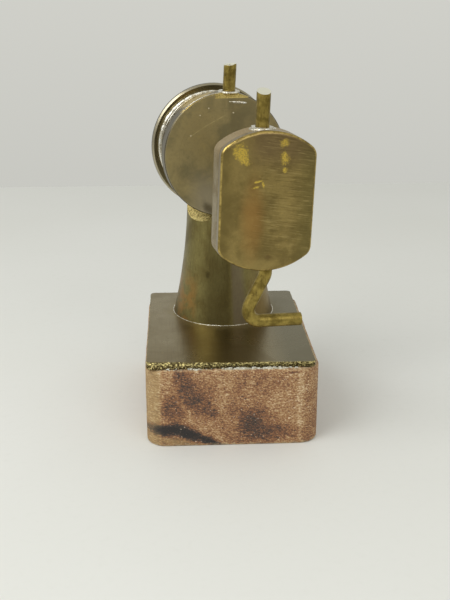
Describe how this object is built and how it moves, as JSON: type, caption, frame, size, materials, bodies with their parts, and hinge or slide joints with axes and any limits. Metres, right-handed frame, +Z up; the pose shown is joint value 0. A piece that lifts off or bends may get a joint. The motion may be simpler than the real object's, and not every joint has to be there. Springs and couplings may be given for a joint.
{
  "type": "model sewing machine drive",
  "caption": "Small handmade brass model on a wooden block: flared column, drum with handwheel, thin arm and a flat head that drives a bar with an L-shaped foot.",
  "frame": {"origin": "middle of the underside of the wooden block, on the surface it stands on", "axes": "+Z up, +Y from the head end to the handwheel end, +X to the right seen from the head end; the arm is swung 10 degrees from Y about Z"},
  "size_m": [0.0334, 0.0488, 0.0693],
  "materials": {
    "wood": "sawn and sanded reddish brown hardwood with dark stains, open pores",
    "plate_brass": "dull polished sheet brass, burred front edge",
    "column_brass": "turned brass with green-brown patina, orange tint low on the left",
    "drum_brass": "turned brass, face polished with circular marks",
    "wheel_brass": "turned brass, bright worn rim",
    "head_brass": "satin brass, pinkish grey sides",
    "face_brass": "hand-rubbed brass with fine scratches, bright bevel and worn gold patches",
    "tube_brass": "drawn brass tube",
    "rod_brass": "yellow drawn brass rod, cut ends bright",
    "plain_brass": "machined",
    "tinned_brass": "bright soft solder over brass",
    "bronze": "turned bearing bronze",
    "steel": "ground silver steel"
  },
  "bodies": {
    "frame": {"wood_block": "wood", "bed_plate": "plate_brass", "plate_pins": "plain_brass", "column": "column_brass", "tie_stud": "steel", "stud_washer": "steel", "stud_nut": "steel", "drum_housing": "drum_brass", "drum_end_cover": "tinned_brass", "drum_bush": "bronze", "rear_bush": "bronze", "spool_pin": "rod_brass", "thrust_washer": "tinned_brass", "arm_tube": "tube_brass", "head_bush": "bronze", "head_body": "head_brass", "face_plate": "face_brass", "closing_posts": "plain_brass", "closing_screws": "steel", "upper_bar_bush": "tinned_brass", "lower_bar_bush": "bronze"},
    "drive": {"main_shaft": "steel", "handwheel": "wheel_brass", "handwheel_pin": "steel", "shaft_collar": "steel", "collar_screw": "steel", "crank_disc": "steel", "crank_pin": "steel"},
    "link": {"connecting_link": "steel"},
    "bar": {"crosshead": "plain_brass", "wrist_pin": "steel", "guide_rod": "rod_brass", "foot_bar": "rod_brass"}
  },
  "joints": [
    {"name": "handwheel_turn", "type": "hinge", "parent": "frame", "child": "drive", "pos_m": [-0.00153, 0.00955, 0.0517], "axis": [-0.1736, 0.9848, 0], "continuous": true},
    {"name": "link_pivot", "type": "hinge", "parent": "drive", "child": "link", "pos_m": [0.0042, -0.02254, 0.0537], "axis": [-0.1736, 0.9848, 0], "continuous": true},
    {"name": "bar_slide", "type": "slide", "parent": "frame", "child": "bar", "axis": [0.0344, 0.0061, 0.9994], "range_m": [-0.004, 0]}
  ],
  "couplings": [
    {"joint": "link_pivot", "follows": "handwheel_turn", "ratio": -1}
  ]
}
